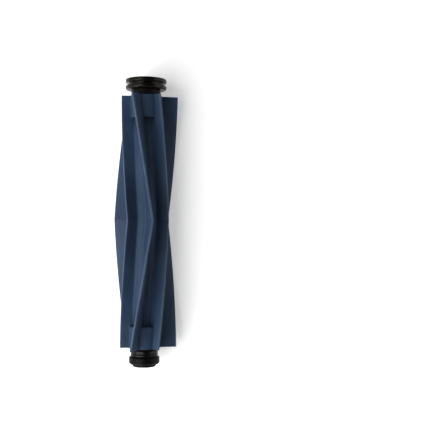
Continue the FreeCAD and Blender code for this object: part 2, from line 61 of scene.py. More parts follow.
axisHeight = (spoolLow.z + spoolHigh.z) / 2      # the turning line runs along Y at this height
sleeveLow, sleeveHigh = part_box("fin_sleeve")
sleeveHalf = (sleeveHigh.y - sleeveLow.y) / 2
sleeveMiddle = (sleeveHigh.y + sleeveLow.y) / 2
print("frame loaded, turning line", round(axisHeight / mm, 2), "mm above the floor")


# Small helpers for node trees

def addNode(tree, kind, **settings):
    node = tree.nodes.new(kind)
    for name, value in settings.items():
        setattr(node, name, value)
    return node


def feed(tree, socket, value):
    if isinstance(value, bpy.types.NodeSocket):
        tree.links.new(value, socket)
    else:
        socket.default_value = value


def calc(tree, operation, *values):
    node = addNode(tree, "ShaderNodeMath", operation=operation)
    for socket, value in zip(node.inputs, values):
        feed(tree, socket, value)
    return node.outputs[0]


def vectorCalc(tree, operation, *values):
    node = addNode(tree, "ShaderNodeVectorMath", operation=operation)
    for socket, value in zip(node.inputs, values):
        feed(tree, socket, value)
    return node.outputs["Value" if operation == "LENGTH" else "Vector"]


def joinXyz(tree, x, y, z):
    node = addNode(tree, "ShaderNodeCombineXYZ")
    for socket, value in zip(node.inputs, (x, y, z)):
        feed(tree, socket, value)
    return node.outputs[0]


def fade(tree, value, span, levels=(0.0, 1.0)):
    # a clamped ramp over a span of values, from the first level to the second
    node = addNode(tree, "ShaderNodeMapRange")
    feed(tree, node.inputs["Value"], value)
    for label, number in zip(("From Min", "From Max", "To Min", "To Max"), (*span, *levels)):
        feed(tree, node.inputs[label], number)
    return node.outputs[0]


def newTree(name, inputs):
    tree = bpy.data.node_groups.new(name, "GeometryNodeTree")
    tree.interface.new_socket("Geometry", in_out="INPUT", socket_type="NodeSocketGeometry")
    for label, kind in inputs:
        tree.interface.new_socket(label, in_out="INPUT", socket_type="NodeSocket" + kind)
    tree.interface.new_socket("Geometry", in_out="OUTPUT", socket_type="NodeSocketGeometry")
    start = addNode(tree, "NodeGroupInput")
    end = addNode(tree, "NodeGroupOutput")
    return tree, start.outputs, end.inputs


def gridByRule(tree, columns, rows):
    # a sheet of points, with each point's column and row number
    grid = addNode(tree, "GeometryNodeMeshGrid")
    feed(tree, grid.inputs["Vertices X"], columns)
    feed(tree, grid.inputs["Vertices Y"], rows)
    index = addNode(tree, "GeometryNodeInputIndex").outputs[0]
    column = calc(tree, "FLOOR", calc(tree, "DIVIDE", calc(tree, "ADD", index, 0.5), rows))
    row = calc(tree, "SUBTRACT", index, calc(tree, "MULTIPLY", column, rows))
    return grid.outputs["Mesh"], column, row


def sampled(tree, source, kind, value, index):
    node = addNode(tree, "GeometryNodeSampleIndex", data_type=kind)
    feed(tree, node.inputs["Geometry"], source)
    feed(tree, node.inputs["Value"], value)
    feed(tree, node.inputs["Index"], index)
    return node.outputs["Value"]


def closeSeam(tree, shape, finish, end):
    # the last steps of a tree: seams and poles merge, and the finish goes on
    weld = addNode(tree, "GeometryNodeMergeByDistance")
    feed(tree, weld.inputs["Geometry"], shape)
    weld.inputs["Distance"].default_value = weldGap
    whole = addNode(tree, "GeometryNodeRealizeInstances")
    feed(tree, whole.inputs[0], weld.outputs[0])
    coat = addNode(tree, "GeometryNodeSetMaterial")
    feed(tree, coat.inputs["Geometry"], whole.outputs[0])
    feed(tree, coat.inputs["Material"], finish)
    feed(tree, end, coat.outputs[0])


def addObject(name, data):
    thing = bpy.data.objects.new(name, data)
    bpy.context.scene.collection.objects.link(thing)
    return thing


def bakeNodes(name, points, tree, values, layer):
    # runs a tree on a list of points and keeps the result as a plain mesh
    mesh = bpy.data.meshes.new(name + "Points")
    mesh.from_pydata(points, [], [])
    layerName, numbers = layer
    mesh.attributes.new(layerName, "FLOAT", "POINT").data.foreach_set("value", numbers)
    holder = addObject(name + "Maker", mesh)
    modifier = holder.modifiers.new("rule", "NODES")
    modifier.node_group = tree
    ids = {item.name: item.identifier for item in tree.interface.items_tree if item.in_out == "INPUT"}
    for label, value in values.items():
        modifier[ids[label]] = value
    depsgraph = bpy.context.evaluated_depsgraph_get()
    made = bpy.data.meshes.new_from_object(holder.evaluated_get(depsgraph))
    bpy.data.objects.remove(holder)
    bpy.data.meshes.remove(mesh)
    made.name = name
    form = bmesh.new()
    form.from_mesh(made)
    bmesh.ops.dissolve_degenerate(form, dist=hair / 10, edges=form.edges)
    bmesh.ops.recalc_face_normals(form, faces=form.faces)
    form.to_mesh(made)
    form.free()
    return addObject(name, made)


def dressAs(piece, body, node):
    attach(piece, body)
    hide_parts(node)


def smoothShade(piece, angle, sharpAlong=None):
    # smooth but for steep edges, and for a crease across the turning line where one is named
    mesh = piece.data
    mesh.shade_smooth()
    mesh.set_sharp_from_angle(angle=math.radians(angle))
    if sharpAlong is None:
        return
    for edge in mesh.edges:
        if all(abs(mesh.vertices[v].co.y - sharpAlong) < hair for v in edge.vertices):
            edge.use_edge_sharp = True


# Shader groups that several finishes share

def newShaderGroup(name, inputs, outputs):
    group = bpy.data.node_groups.new(name, "ShaderNodeTree")
    for label, kind, default in inputs:
        socket = group.interface.new_socket(label, in_out="INPUT", socket_type="NodeSocket" + kind)
        socket.default_value = default
    for label, kind in outputs:
        group.interface.new_socket(label, in_out="OUTPUT", socket_type="NodeSocket" + kind)
    return group, addNode(group, "NodeGroupInput").outputs, addNode(group, "NodeGroupOutput").inputs


skinNoise = {
    "grainDetail": 2.0,
    "cloudDetail": 3.0,
    "scuffDetail": 4.0,
    "scuffStretch": (900, 120, 900),      # scuffs run along the brush
    "scuffBand": (0.58, 0.75),
    "usualBand": (0.3, 0.7),              # most values of a noise lie in here
}


def addNoise(tree, place, scale, detail):
    node = addNode(tree, "ShaderNodeTexNoise")
    for label, value in (("Vector", place), ("Scale", scale), ("Detail", detail)):
        feed(tree, node.inputs[label], value)
    return node.outputs[0]


def makeMouldedSkin():
    # fine grain, broad cloudiness and faint scuffs, as moulded plastic and rubber have
    group, given, out = newShaderGroup("mouldedSkin", [
        ("Grain Scale", "Float", 2500.0), ("Cloud Scale", "Float", 60.0), ("Scuff Amount", "Float", 0.3),
    ], [("Grain", "Float"), ("Cloud", "Float"), ("Scuff", "Float")])
    place = addNode(group, "ShaderNodeTexCoord").outputs["Object"]
    streak = addNode(group, "ShaderNodeMapping")
    feed(group, streak.inputs["Vector"], place)
    streak.inputs["Scale"].default_value = skinNoise["scuffStretch"]
    feed(group, out["Grain"], addNoise(group, place, given["Grain Scale"], skinNoise["grainDetail"]))
    feed(group, out["Cloud"], addNoise(group, place, given["Cloud Scale"], skinNoise["cloudDetail"]))
    scuff = fade(group, addNoise(group, streak.outputs[0], 1.0, skinNoise["scuffDetail"]),
                 skinNoise["scuffBand"])
    feed(group, out["Scuff"], calc(group, "MULTIPLY", scuff, given["Scuff Amount"]))
    return group


mouldedSkin = makeMouldedSkin()


def newFinish(name, **constants):
    finish = bpy.data.materials.new(name)
    finish.use_nodes = True
    tree = finish.node_tree
    shader = tree.nodes["Principled BSDF"]
    for label, value in constants.items():
        shader.inputs[label.replace("_", " ")].default_value = value
    return finish, tree, shader


def blendColour(tree, amount, first, second):
    node = addNode(tree, "ShaderNodeMix", data_type="RGBA")
    feed(tree, node.inputs[0], amount)
    feed(tree, node.inputs[6], first)
    feed(tree, node.inputs[7], second)
    return node.outputs[2]


def placeSkin(tree, **values):
    node = addNode(tree, "ShaderNodeGroup", node_tree=mouldedSkin)
    for label, value in values.items():
        node.inputs[label.replace("_", " ")].default_value = value
    return node.outputs


def addBump(tree, shader, height, strength, distance):
    bump = addNode(tree, "ShaderNodeBump")
    bump.inputs["Strength"].default_value = strength
    bump.inputs["Distance"].default_value = distance
    feed(tree, bump.inputs["Height"], height)
    feed(tree, shader.inputs["Normal"], bump.outputs[0])


def spread(tree, noise, low, high):
    # stretches the usual run of a noise over two levels
    return fade(tree, noise, skinNoise["usualBand"], (low, high))


# Finned sleeve

finSleeve = {
    "finPairs": 3,
    "tubeRadius": 8.0 * mm,
    "boreRadius": 6.0 * mm,
    "tallTip": 21.3 * mm,
    "shortTip": 16.2 * mm,
    "tipThickness": 1.3 * mm,
    "rootThickness": 2.4 * mm,
    "rootFillet": 1.2 * mm,
    "tipRound": 0.3 * mm,
    "twist": 39.0,
    "crease": 1.2 * mm,      # the V points this far off the middle, towards the idler end
    "collarRadius": 10.6 * mm,
    "collarLength": 15.0 * mm,
    "collarRound": 1.6 * mm,
    "stations": 151,
    # stations lie close where the collars end: share of the count, share of the length
    "packing": ((0.05, 0.076), (0.17, 0.096), (0.83, 0.904), (0.95, 0.924)),
    "creaseCatch": 0.3 * mm,      # the station this near the crease moves onto it
    "filletSteps": 4,
    "wallSteps": 8,
    "tipSteps": 4,
    "tubeSteps": 6,
    "wearAndHighlightFrom": 0.8,              # share of the side wall where the paler tip edge begins, partly wear and partly a painted highlight
    "wearAndHighlightRise": 2.0,
    "shadeAngle": 38,
}


def finOutline(size, tip, turn):
    # across-and-up points of one fin from toe to toe, and how near each is to the tip edge
    halfRoot, halfTip = size["rootThickness"] / 2, size["tipThickness"] / 2
    fillet, tube, soft = size["rootFillet"], size["tubeRadius"], size["tipRound"]
    centreAcross = halfRoot + fillet
    centreUp = math.sqrt((tube + fillet) ** 2 - centreAcross ** 2)
    toeAngle = math.atan2(centreAcross, centreUp)
    side = []
    for step in range(size["filletSteps"] + 1):          # fillet from the tube up to the side wall
        angle = math.radians(-90) - toeAngle + (toeAngle - math.radians(90)) * step / size["filletSteps"]
        side.append((centreAcross + fillet * math.cos(angle), centreUp + fillet * math.sin(angle), 0.0))
    for step in range(1, size["wallSteps"] + 1):         # side wall
        share = step / size["wallSteps"]
        side.append((halfRoot + (halfTip - halfRoot) * share, centreUp + (tip - soft - centreUp) * share,
                     max(0.0, share - size["wearAndHighlightFrom"]) * size["wearAndHighlightRise"]))
    for step in range(1, size["tipSteps"] + 1):          # rounded tip edge
        angle = math.radians(90 * step / size["tipSteps"])
        side.append((halfTip - soft + soft * math.cos(angle), tip - soft + soft * math.sin(angle), 1.0))
    whole = [(-across, up, mark) for across, up, mark in side] + side[::-1]
    c, s = math.cos(turn), math.sin(turn)
    return [(across * c + up * s, up * c - across * s, mark) for across, up, mark in whole], toeAngle


def sectorOutline(size):
    # one tall fin, one short fin and the tube between them; the next sector starts where this one ends
    points = []
    pitch = math.radians(180 / size["finPairs"])
    for place, tip in enumerate((size["tallTip"], size["shortTip"])):
        fin, toeAngle = finOutline(size, tip, place * pitch)
        points += fin
        for step in range(1, size["tubeSteps"]):
            angle = place * pitch + toeAngle + (pitch - 2 * toeAngle) * step / size["tubeSteps"]
            points.append((size["tubeRadius"] * math.sin(angle), size["tubeRadius"] * math.cos(angle), 0.0))
    return [(x, 0, z) for x, z, mark in points], [mark for x, z, mark in points]


def makeSleeveTree(size):
    tree, given, out = newTree("finSleeveRule", [
        ("Fin Pairs", "Int"), ("Half Length", "Float"), ("Middle", "Vector"), ("Crease", "Float"),
        ("Twist", "Float"), ("First Phase", "Float"), ("Bore Radius", "Float"), ("Collar Radius", "Float"),
        ("Collar Length", "Float"), ("Collar Round", "Float"), ("Stations", "Int"), ("Finish", "Material"),
    ])
    # the sector is set round the turning line once for each pair of fins
    line = addNode(tree, "GeometryNodeMeshLine")
    feed(tree, line.inputs["Count"], given["Fin Pairs"])
    line.inputs["Offset"].default_value = (0, 0, 0)
    step = calc(tree, "DIVIDE", 2 * math.pi, given["Fin Pairs"])
    index = addNode(tree, "GeometryNodeInputIndex").outputs[0]
    instance = addNode(tree, "GeometryNodeInstanceOnPoints")
    feed(tree, instance.inputs["Points"], line.outputs[0])
    feed(tree, instance.inputs["Instance"], given["Geometry"])
    feed(tree, instance.inputs["Rotation"], joinXyz(tree, 0.0, calc(tree, "MULTIPLY", index, step), 0.0))
    star = addNode(tree, "GeometryNodeRealizeInstances")
    feed(tree, star.inputs[0], instance.outputs[0])
    ring = star.outputs[0]
    count = addNode(tree, "GeometryNodeAttributeDomainSize")
    feed(tree, count.inputs[0], ring)
    points = count.outputs["Point Count"]
    columns = calc(tree, "ADD", points, 1.0)
    position = addNode(tree, "GeometryNodeInputPosition").outputs[0]
    tipMark = addNode(tree, "GeometryNodeInputNamedAttribute", data_type="FLOAT")
    tipMark.inputs["Name"].default_value = "tipEdge"

    spacing = addNode(tree, "ShaderNodeFloatCurve")
    curve = spacing.mapping.curves[0]
    bend = 0.5 + size["crease"] / sleeveHalf / 2
    packing = size["packing"]
    for across, up in (*packing[:2], (0.5, bend), *packing[2:]):
        curve.points.new(across, up)
    for knot in curve.points:
        knot.handle_type = "VECTOR"
    spacing.mapping.update()

    def placed(column, along, onBore):
        around = calc(tree, "MODULO", calc(tree, "ADD", column, 0.25), points)
        across = sampled(tree, ring, "FLOAT_VECTOR", position, around)
        distance = vectorCalc(tree, "LENGTH", across)
        height = calc(tree, "ABSOLUTE", along)
        inset = calc(tree, "SUBTRACT", height,
                     calc(tree, "SUBTRACT", given["Half Length"], given["Collar Length"]))
        lean = calc(tree, "MAXIMUM", calc(tree, "SUBTRACT", given["Collar Round"], inset), 0.0)
        square = calc(tree, "SUBTRACT", calc(tree, "POWER", given["Collar Round"], 2.0),
                      calc(tree, "POWER", lean, 2.0))
        crown = calc(tree, "ADD", calc(tree, "SUBTRACT", given["Collar Radius"], given["Collar Round"]),
                     calc(tree, "SQRT", calc(tree, "MAXIMUM", square, 0.0)))
        collar = calc(tree, "MULTIPLY", crown, calc(tree, "GREATER_THAN", inset, -hair))
        outer = calc(tree, "MAXIMUM", distance, collar)
        keep = calc(tree, "SUBTRACT", 1.0, onBore)
        reach = calc(tree, "ADD", calc(tree, "MULTIPLY", outer, keep),
                     calc(tree, "MULTIPLY", given["Bore Radius"], onBore))
        scaled = addNode(tree, "ShaderNodeVectorMath", operation="SCALE")
        feed(tree, scaled.inputs[0], across)
        feed(tree, scaled.inputs["Scale"], calc(tree, "DIVIDE", reach, distance))
        turn = addNode(tree, "ShaderNodeVectorRotate", rotation_type="Y_AXIS")
        feed(tree, turn.inputs["Vector"], scaled.outputs[0])
        share = calc(tree, "MINIMUM", *(
            calc(tree, "DIVIDE", calc(tree, way, given["Half Length"], along),
                 calc(tree, way, given["Half Length"], given["Crease"])) for way in ("SUBTRACT", "ADD")))
        feed(tree, turn.inputs["Angle"],
             calc(tree, "ADD", given["First Phase"], calc(tree, "MULTIPLY", given["Twist"], share)))
        mark = sampled(tree, ring, "FLOAT", tipMark.outputs["Attribute"], around)
        return vectorCalc(tree, "ADD", turn.outputs[0], joinXyz(tree, 0.0, along, 0.0)), mark

    def sheet(rows, alongOf, boreOf):
        grid, column, row = gridByRule(tree, columns, rows)
        place, mark = placed(column, alongOf(row), boreOf(row))
        move = addNode(tree, "GeometryNodeSetPosition")
        feed(tree, move.inputs["Position"], vectorCalc(tree, "ADD", place, given["Middle"]))
        store = addNode(tree, "GeometryNodeStoreNamedAttribute", data_type="FLOAT", domain="POINT")
        feed(tree, store.inputs["Geometry"], grid)
        store.inputs["Name"].default_value = "tipEdge"
        feed(tree, store.inputs["Value"], mark)
        feed(tree, move.inputs["Geometry"], store.outputs[0])
        return move.outputs[0]

    # outer skin: a bore ring, the stations and another bore ring, so both end faces are closed
    last = calc(tree, "SUBTRACT", given["Stations"], 1.0)

    def skinAlong(row):
        step = addNode(tree, "ShaderNodeClamp")
        feed(tree, step.inputs["Value"], calc(tree, "SUBTRACT", row, 1.0))
        feed(tree, step.inputs["Min"], 0.0)
        feed(tree, step.inputs["Max"], last)
        feed(tree, spacing.inputs["Value"], calc(tree, "DIVIDE", step.outputs[0], last))
        along = calc(tree, "MULTIPLY", given["Half Length"],
                     calc(tree, "SUBTRACT", calc(tree, "MULTIPLY", spacing.outputs[0], 2.0), 1.0))
        atCrease = calc(tree, "COMPARE", along, given["Crease"], size["creaseCatch"])
        return calc(tree, "ADD", calc(tree, "MULTIPLY", along, calc(tree, "SUBTRACT", 1.0, atCrease)),
                    calc(tree, "MULTIPLY", given["Crease"], atCrease))

    def skinBore(row):
        return calc(tree, "ADD", calc(tree, "LESS_THAN", row, 0.5),
                    calc(tree, "GREATER_THAN", row, calc(tree, "ADD", last, 1.5)))

    skin = sheet(calc(tree, "ADD", given["Stations"], 2.0), skinAlong, skinBore)
    bore = sheet(2, lambda row: calc(tree, "MULTIPLY", given["Half Length"],
                                       calc(tree, "SUBTRACT", 1.0, calc(tree, "MULTIPLY", row, 2.0))),
                 lambda row: 1.0)
    both = addNode(tree, "GeometryNodeJoinGeometry")
    feed(tree, both.inputs[0], skin)
    feed(tree, both.inputs[0], bore)
    closeSeam(tree, both.outputs[0], given["Finish"], out[0])
    return tree


rubber = {
    "deep": (0.023, 0.044, 0.086, 1),
    "pale": (0.033, 0.061, 0.113, 1),
    # paler colour for the scuffs, and for the fin tips, where it is partly wear and partly a painted
    # highlight
    "tip": (0.12, 0.17, 0.25, 1),
    # the colour of the painted shade in the corners by the collars
    "paintedShadeColour": (0.006, 0.011, 0.024, 1),
    "wearAndHighlight": (0.2, 0.55),
    "roughness": (0.48, 0.62),
    "specular": 0.16,
    "grainScale": 3000.0,
    "cloudScale": 45.0,
    "scuff": 0.12,
    "bump": 0.12,
    "bumpDepth": 0.2 * mm,
    "paintedShadeReach": 14.0 * mm,      # the painted shade by a collar ends this far from its step
    "paintedShadeStart": 0.4 * mm,       # the painted shade begins to thin this far above the tube
    "paintedShadeMost": 0.95,
}


def paintedShadeMask(tree):
    # painted shade: full in the corner between the tube and a collar, fading towards the middle and up the
    # fins
    place = addNode(tree, "ShaderNodeSeparateXYZ")
    feed(tree, place.inputs[0], addNode(tree, "ShaderNodeTexCoord").outputs["Object"])
    offMiddle = calc(tree, "ABSOLUTE", calc(tree, "SUBTRACT", place.outputs["Y"], sleeveMiddle))
    foot = sleeveHalf - finSleeve["collarLength"]
    near = fade(tree, offMiddle, (foot - rubber["paintedShadeReach"], foot))
    low = recessMask(tree, finSleeve["tubeRadius"] + rubber["paintedShadeStart"], finSleeve["collarRadius"],
                     rubber["paintedShadeMost"])
    return calc(tree, "MULTIPLY", calc(tree, "POWER", near, 2.0), low)


def makeBlueRubber():
    # slate blue soft rubber, paler along the fin tips from wear and a painted highlight, and darker with
    # painted shade in the corners by the collars
    look = rubber
    finish, tree, shader = newFinish("blueRubber", Specular_IOR_Level=look["specular"])
    skin = placeSkin(tree, Grain_Scale=look["grainScale"], Cloud_Scale=look["cloudScale"],
                     Scuff_Amount=look["scuff"])
    colour = blendColour(tree, spread(tree, skin["Cloud"], 0.0, 1.0), look["deep"], look["pale"])
    # painted shade: a deeper colour in each corner at a collar's foot
    colour = blendColour(tree, paintedShadeMask(tree), colour, look["paintedShadeColour"])
    tipEdge = addNode(tree, "ShaderNodeAttribute", attribute_name="tipEdge")
    # paler tips: partly wear, partly a painted highlight along the tip edges
    wearAndHighlight = calc(tree, "MULTIPLY", tipEdge.outputs["Fac"], spread(tree, skin["Cloud"], *look["wearAndHighlight"]))
    colour = blendColour(tree, wearAndHighlight, colour, look["tip"])
    feed(tree, shader.inputs["Base Color"], blendColour(tree, skin["Scuff"], colour, look["tip"]))
    feed(tree, shader.inputs["Roughness"], spread(tree, skin["Cloud"], *look["roughness"]))
    addBump(tree, shader, skin["Grain"], look["bump"], look["bumpDepth"])
    return finish


def makeFinSleeve():
    size = finSleeve
    gap = 360 / size["finPairs"]
    endPhase = 180 - size["twist"] - (gap - size["twist"]) / 2      # tall fins straddle the floor at rest
    points, marks = sectorOutline(size)
    piece = bakeNodes("finned_sleeve", points, makeSleeveTree(size), {
        "Fin Pairs": size["finPairs"], "Half Length": sleeveHalf, "Middle": (0, sleeveMiddle, axisHeight),
        "Crease": size["crease"], "Twist": math.radians(size["twist"]),
        "First Phase": math.radians(endPhase), "Bore Radius": size["boreRadius"],
        "Collar Radius": size["collarRadius"], "Collar Length": size["collarLength"],
        "Collar Round": size["collarRound"], "Stations": size["stations"], "Finish": makeBlueRubber(),
    }, ("tipEdge", marks))
    smoothShade(piece, size["shadeAngle"], sleeveMiddle + size["crease"])
    dressAs(piece, "brush", "fin_sleeve")
    print("finned sleeve", len(piece.data.polygons), "faces")


# Turned black ends

turned = {
    "columns": 96,
    "roundSteps": 6,
    "hold": 0.1 * mm,      # a point this far beside each end of a round keeps the flat face flat
    "shadeAngle": 40,
}


def softOutline(corners, closed):
    # corners are (radius, place along, soft, sides); soft rounds a corner above nought and bevels it below
    points = []
    for number, (radius, along, soft, sides) in enumerate(corners):
        corner = Vector((radius, along))
        if not soft:
            points.append((corner, sides))
            continue
        before = (Vector(corners[number - 1][:2]) - corner).normalized()
        after = (Vector(corners[(number + 1) % len(corners)][:2]) - corner).normalized()
        if soft < 0:
            points += [(corner - before * soft, sides), (corner - after * soft, sides)]
            continue
        half = before.angle(after) / 2
        reach = soft / math.tan(half)
        centre = corner + (before + after).normalized() * soft / math.sin(half)
        first, last = corner + before * reach - centre, corner + after * reach - centre
        start = math.atan2(first.y, first.x)
        sweep = (math.atan2(last.y, last.x) - start + math.pi) % (2 * math.pi) - math.pi
        arc = [start + sweep * step / turned["roundSteps"] for step in range(turned["roundSteps"] + 1)]
        hold = reach + turned["hold"]
        points.append((corner + before * hold, sides))
        points += [(centre + soft * Vector((math.cos(angle), math.sin(angle))), sides) for angle in arc]
        points.append((corner + after * hold, sides))
    if closed:
        points.append(points[0])
    return [(point.x, point.y, 0) for point, sides in points], [float(sides) for point, sides in points]


def makeTurnedTree():
    # turns an outline round the turning line; where it has sides, the section is a polygon and not a circle
    tree, given, out = newTree("turnedRule", [
        ("Columns", "Int"), ("Middle", "Vector"), ("Finish", "Material"),
    ])
    count = addNode(tree, "GeometryNodeAttributeDomainSize")
    feed(tree, count.inputs[0], given["Geometry"])
    columns = calc(tree, "ADD", given["Columns"], 1.0)
    grid, column, row = gridByRule(tree, columns, count.outputs["Point Count"])
    index = calc(tree, "ADD", row, 0.25)
    position = addNode(tree, "GeometryNodeInputPosition").outputs[0]
    place = addNode(tree, "ShaderNodeSeparateXYZ")
    feed(tree, place.inputs[0], sampled(tree, given["Geometry"], "FLOAT_VECTOR", position, index))
    sideMark = addNode(tree, "GeometryNodeInputNamedAttribute", data_type="FLOAT")
    sideMark.inputs["Name"].default_value = "flatSides"
    sides = sampled(tree, given["Geometry"], "FLOAT", sideMark.outputs["Attribute"], index)
    angle = calc(tree, "MULTIPLY", column, calc(tree, "DIVIDE", 2 * math.pi, given["Columns"]))
    half = calc(tree, "DIVIDE", math.pi, calc(tree, "MAXIMUM", sides, 3.0))
    within = calc(tree, "MODULO", calc(tree, "ADD", angle, half), calc(tree, "MULTIPLY", half, 2.0))
    offCorner = calc(tree, "COSINE", calc(tree, "SUBTRACT", within, half))
    flat = calc(tree, "DIVIDE", calc(tree, "COSINE", half), offCorner)
    isFlat = calc(tree, "GREATER_THAN", sides, 0.5)
    share = calc(tree, "ADD", 1.0, calc(tree, "MULTIPLY", isFlat, calc(tree, "SUBTRACT", flat, 1.0)))
    reach = calc(tree, "MULTIPLY", place.outputs["X"], share)
    spot = joinXyz(tree, calc(tree, "MULTIPLY", reach, calc(tree, "SINE", angle)), place.outputs["Y"],
                   calc(tree, "MULTIPLY", reach, calc(tree, "COSINE", angle)))
    move = addNode(tree, "GeometryNodeSetPosition")
    feed(tree, move.inputs["Geometry"], grid)
    feed(tree, move.inputs["Position"], vectorCalc(tree, "ADD", spot, given["Middle"]))
    closeSeam(tree, move.outputs[0], given["Finish"], out[0])
    return tree


def makeTurned(name, corners, closed, finish):
    outline, sides = softOutline(corners, closed)
    piece = bakeNodes(name, outline, turnedTree, {
        "Columns": turned["columns"], "Middle": (0, 0, axisHeight), "Finish": finish,
    }, ("flatSides", sides))
    smoothShade(piece, turned["shadeAngle"])
    return piece


turnedTree = makeTurnedTree()

spool = {
    "barrelRadius": 8.4 * mm,
    "boreRadius": 6.52 * mm,
    "grooveRadius": 11.2 * mm,
    "grooveWidth": 1.7 * mm,
    "innerFlange": 2.8 * mm,
    "outerFlange": 2.6 * mm,
    "flangeRound": 0.7 * mm,
    "innerRound": 1.3 * mm,
    "lipRadius": 5.7 * mm,
    "capSeatRadius": 7.02 * mm,
    "seatRound": 0.15 * mm,
    "capRound": 0.5 * mm,
}


def makeSpool(finish):
    size = spool
    barrelStart, end = spoolLow.y, spoolHigh.y
    rim = (spoolHigh.x - spoolLow.x) / 2
    grooveEnd = end - size["outerFlange"]
    grooveStart = grooveEnd - size["grooveWidth"]
    start = grooveStart - size["innerFlange"]
    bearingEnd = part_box("bearing_outer_ring")[1].y
    capLow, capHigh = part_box("spool_cap")
    piece = makeTurned("idler_spool", [
        (size["boreRadius"], barrelStart, 0, 0),
        (size["barrelRadius"], barrelStart, 0, 0),
        (size["barrelRadius"], start, 0, 0),
        (rim, start, size["innerRound"], 0),
        (rim, grooveStart, size["flangeRound"], 0),
        (size["grooveRadius"], grooveStart, 0, 0),
        (size["grooveRadius"], grooveEnd, 0, 0),
        (rim, grooveEnd, size["flangeRound"], 0),
        (rim, end, size["flangeRound"], 0),
        (size["capSeatRadius"], end, size["seatRound"], 0),
        (size["capSeatRadius"], capLow.y, 0, 0),
        (size["lipRadius"], capLow.y, 0, 0),
        (size["lipRadius"], bearingEnd, 0, 0),
        (size["boreRadius"], bearingEnd, 0, 0),
    ], True, finish)
    dressAs(piece, "spool", "bearing_spool")
    capRadius = (capHigh.x - capLow.x) / 2
    cap = makeTurned("idler_cap", [
        (0, capLow.y, 0, 0),
        (capRadius, capLow.y, 0, 0),
        (capRadius, capHigh.y, size["capRound"], 0),
        (0, capHigh.y, 0, 0),
    ], False, finish)
    dressAs(cap, "spool", "spool_cap")
    print("idler spool and cap made")


neck = {
    "spigotRadius": 3.98 * mm,
    "cupRadius": 8.8 * mm,
    "cupFloor": 1.7 * mm,
    "bossRadius": 3.6 * mm,
    "pinHole": 2.52 * mm,
    "rimRound": 0.15 * mm,
}


def makeNeck(finish):
    size = neck
    low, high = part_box("idler_plug")
    outside = (high.x - low.x) / 2
    floor = sleeveHigh.y + size["cupFloor"]
    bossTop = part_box("bearing_inner_ring")[0].y
    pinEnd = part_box("axle_pin")[0].y
    piece = makeTurned("idler_neck", [
        (0, low.y, 0, 0),
        (size["spigotRadius"], low.y, 0, 0),
        (size["spigotRadius"], sleeveHigh.y, 0, 0),
        (outside, sleeveHigh.y, 0, 0),
        (outside, high.y, size["rimRound"], 0),
        (size["cupRadius"], high.y, size["rimRound"], 0),
        (size["cupRadius"], floor, 0, 0),
        (size["bossRadius"], floor, 0, 0),
        (size["bossRadius"], bossTop, 0, 0),
        (size["pinHole"], bossTop, 0, 0),
        (size["pinHole"], pinEnd, 0, 0),
        (0, pinEnd, 0, 0),
    ], False, finish)
    dressAs(piece, "brush", "idler_plug")
    print("idler neck made")


hub = {
    "spigotRadius": 3.98 * mm,
    "neckRadius": 8.0 * mm,
    "neckLength": 1.4 * mm,
    "ringLength": 3.9 * mm,
    "ringRound": 0.4 * mm,
    "linePlace": 2.4 * mm,
    "lineDepth": 0.45 * mm,
    "grooveRadius": 7.9 * mm,
    "hexCorner": 7.0 * mm,
    "hexDepth": 5.5 * mm,
    "screwHole": 1.27 * mm,
    "screwDepth": 10.0 * mm,
    "dogInside": 0.8,      # share of the spigot radius where the dogs begin
    "dogReach": 5.75 * mm,
    "dogWidth": 3.0 * mm,
    "dogLength": 4.0 * mm,
}


def makeHub(finish):
    size = hub
    low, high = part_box("drive_hub")
    rim = (high.x - low.x) / 2
    ringStart = sleeveLow.y - size["neckLength"]
    ringEnd = ringStart - size["ringLength"]
    line, dip = ringStart - size["linePlace"], size["lineDepth"]
    hexFloor = low.y + size["hexDepth"]
    holeEnd = hexFloor + size["screwDepth"]
    piece = makeTurned("drive_hub_ring", [
        (0, high.y, 0, 0),
        (size["spigotRadius"], high.y, 0, 0),
        (size["spigotRadius"], sleeveLow.y, 0, 0),
        (size["neckRadius"], sleeveLow.y, 0, 0),
        (size["neckRadius"], ringStart, 0, 0),
        (rim, ringStart, size["ringRound"], 0),
        (rim, line + dip, 0, 0),
        (rim - dip, line, dip / 2, 0),
        (rim, line - dip, 0, 0),
        (rim, ringEnd, size["ringRound"], 0),
        (size["grooveRadius"], ringEnd, 0, 0),
        (size["grooveRadius"], low.y, 0, 0),
        (size["hexCorner"], low.y, 0, 6),
        (size["hexCorner"], hexFloor, 0, 6),
        (size["screwHole"], hexFloor, 0, 0),
        (size["screwHole"], holeEnd, 0, 0),
        (0, holeEnd, 0, 0),
    ], False, finish)
    addDogs(piece)
    dressAs(piece, "brush", "drive_hub")
    print("drive hub made")


def addDogs(piece):
    # two lugs beside the spigot that turn the core tube
    size = hub
    inside = size["spigotRadius"] * size["dogInside"]
    form = bmesh.new()
    form.from_mesh(piece.data)
    for side in (-1, 1):
        across = side * (inside + size["dogReach"]) / 2
        middle = Vector((across, sleeveLow.y + size["dogLength"] / 2, axisHeight))
        lug = Matrix.Diagonal((size["dogReach"] - inside, size["dogLength"], size["dogWidth"], 1))
        bmesh.ops.create_cube(form, size=1.0, matrix=Matrix.Translation(middle) @ lug)
    form.to_mesh(piece.data)
    form.free()


driveCap = {
    "tenonCorner": 6.9 * mm,
    "ringFoot": 0.5 * mm,
    "ringBevel": 0.8 * mm,
    "bossRadius": 7.8 * mm,
    "bossLength": 1.7 * mm,
    "bossRound": 0.7 * mm,
    "socketWidth": 7.4 * mm,
    "socketFloor": 1.5 * mm,
    "floorHole": 1.5 * mm,
}


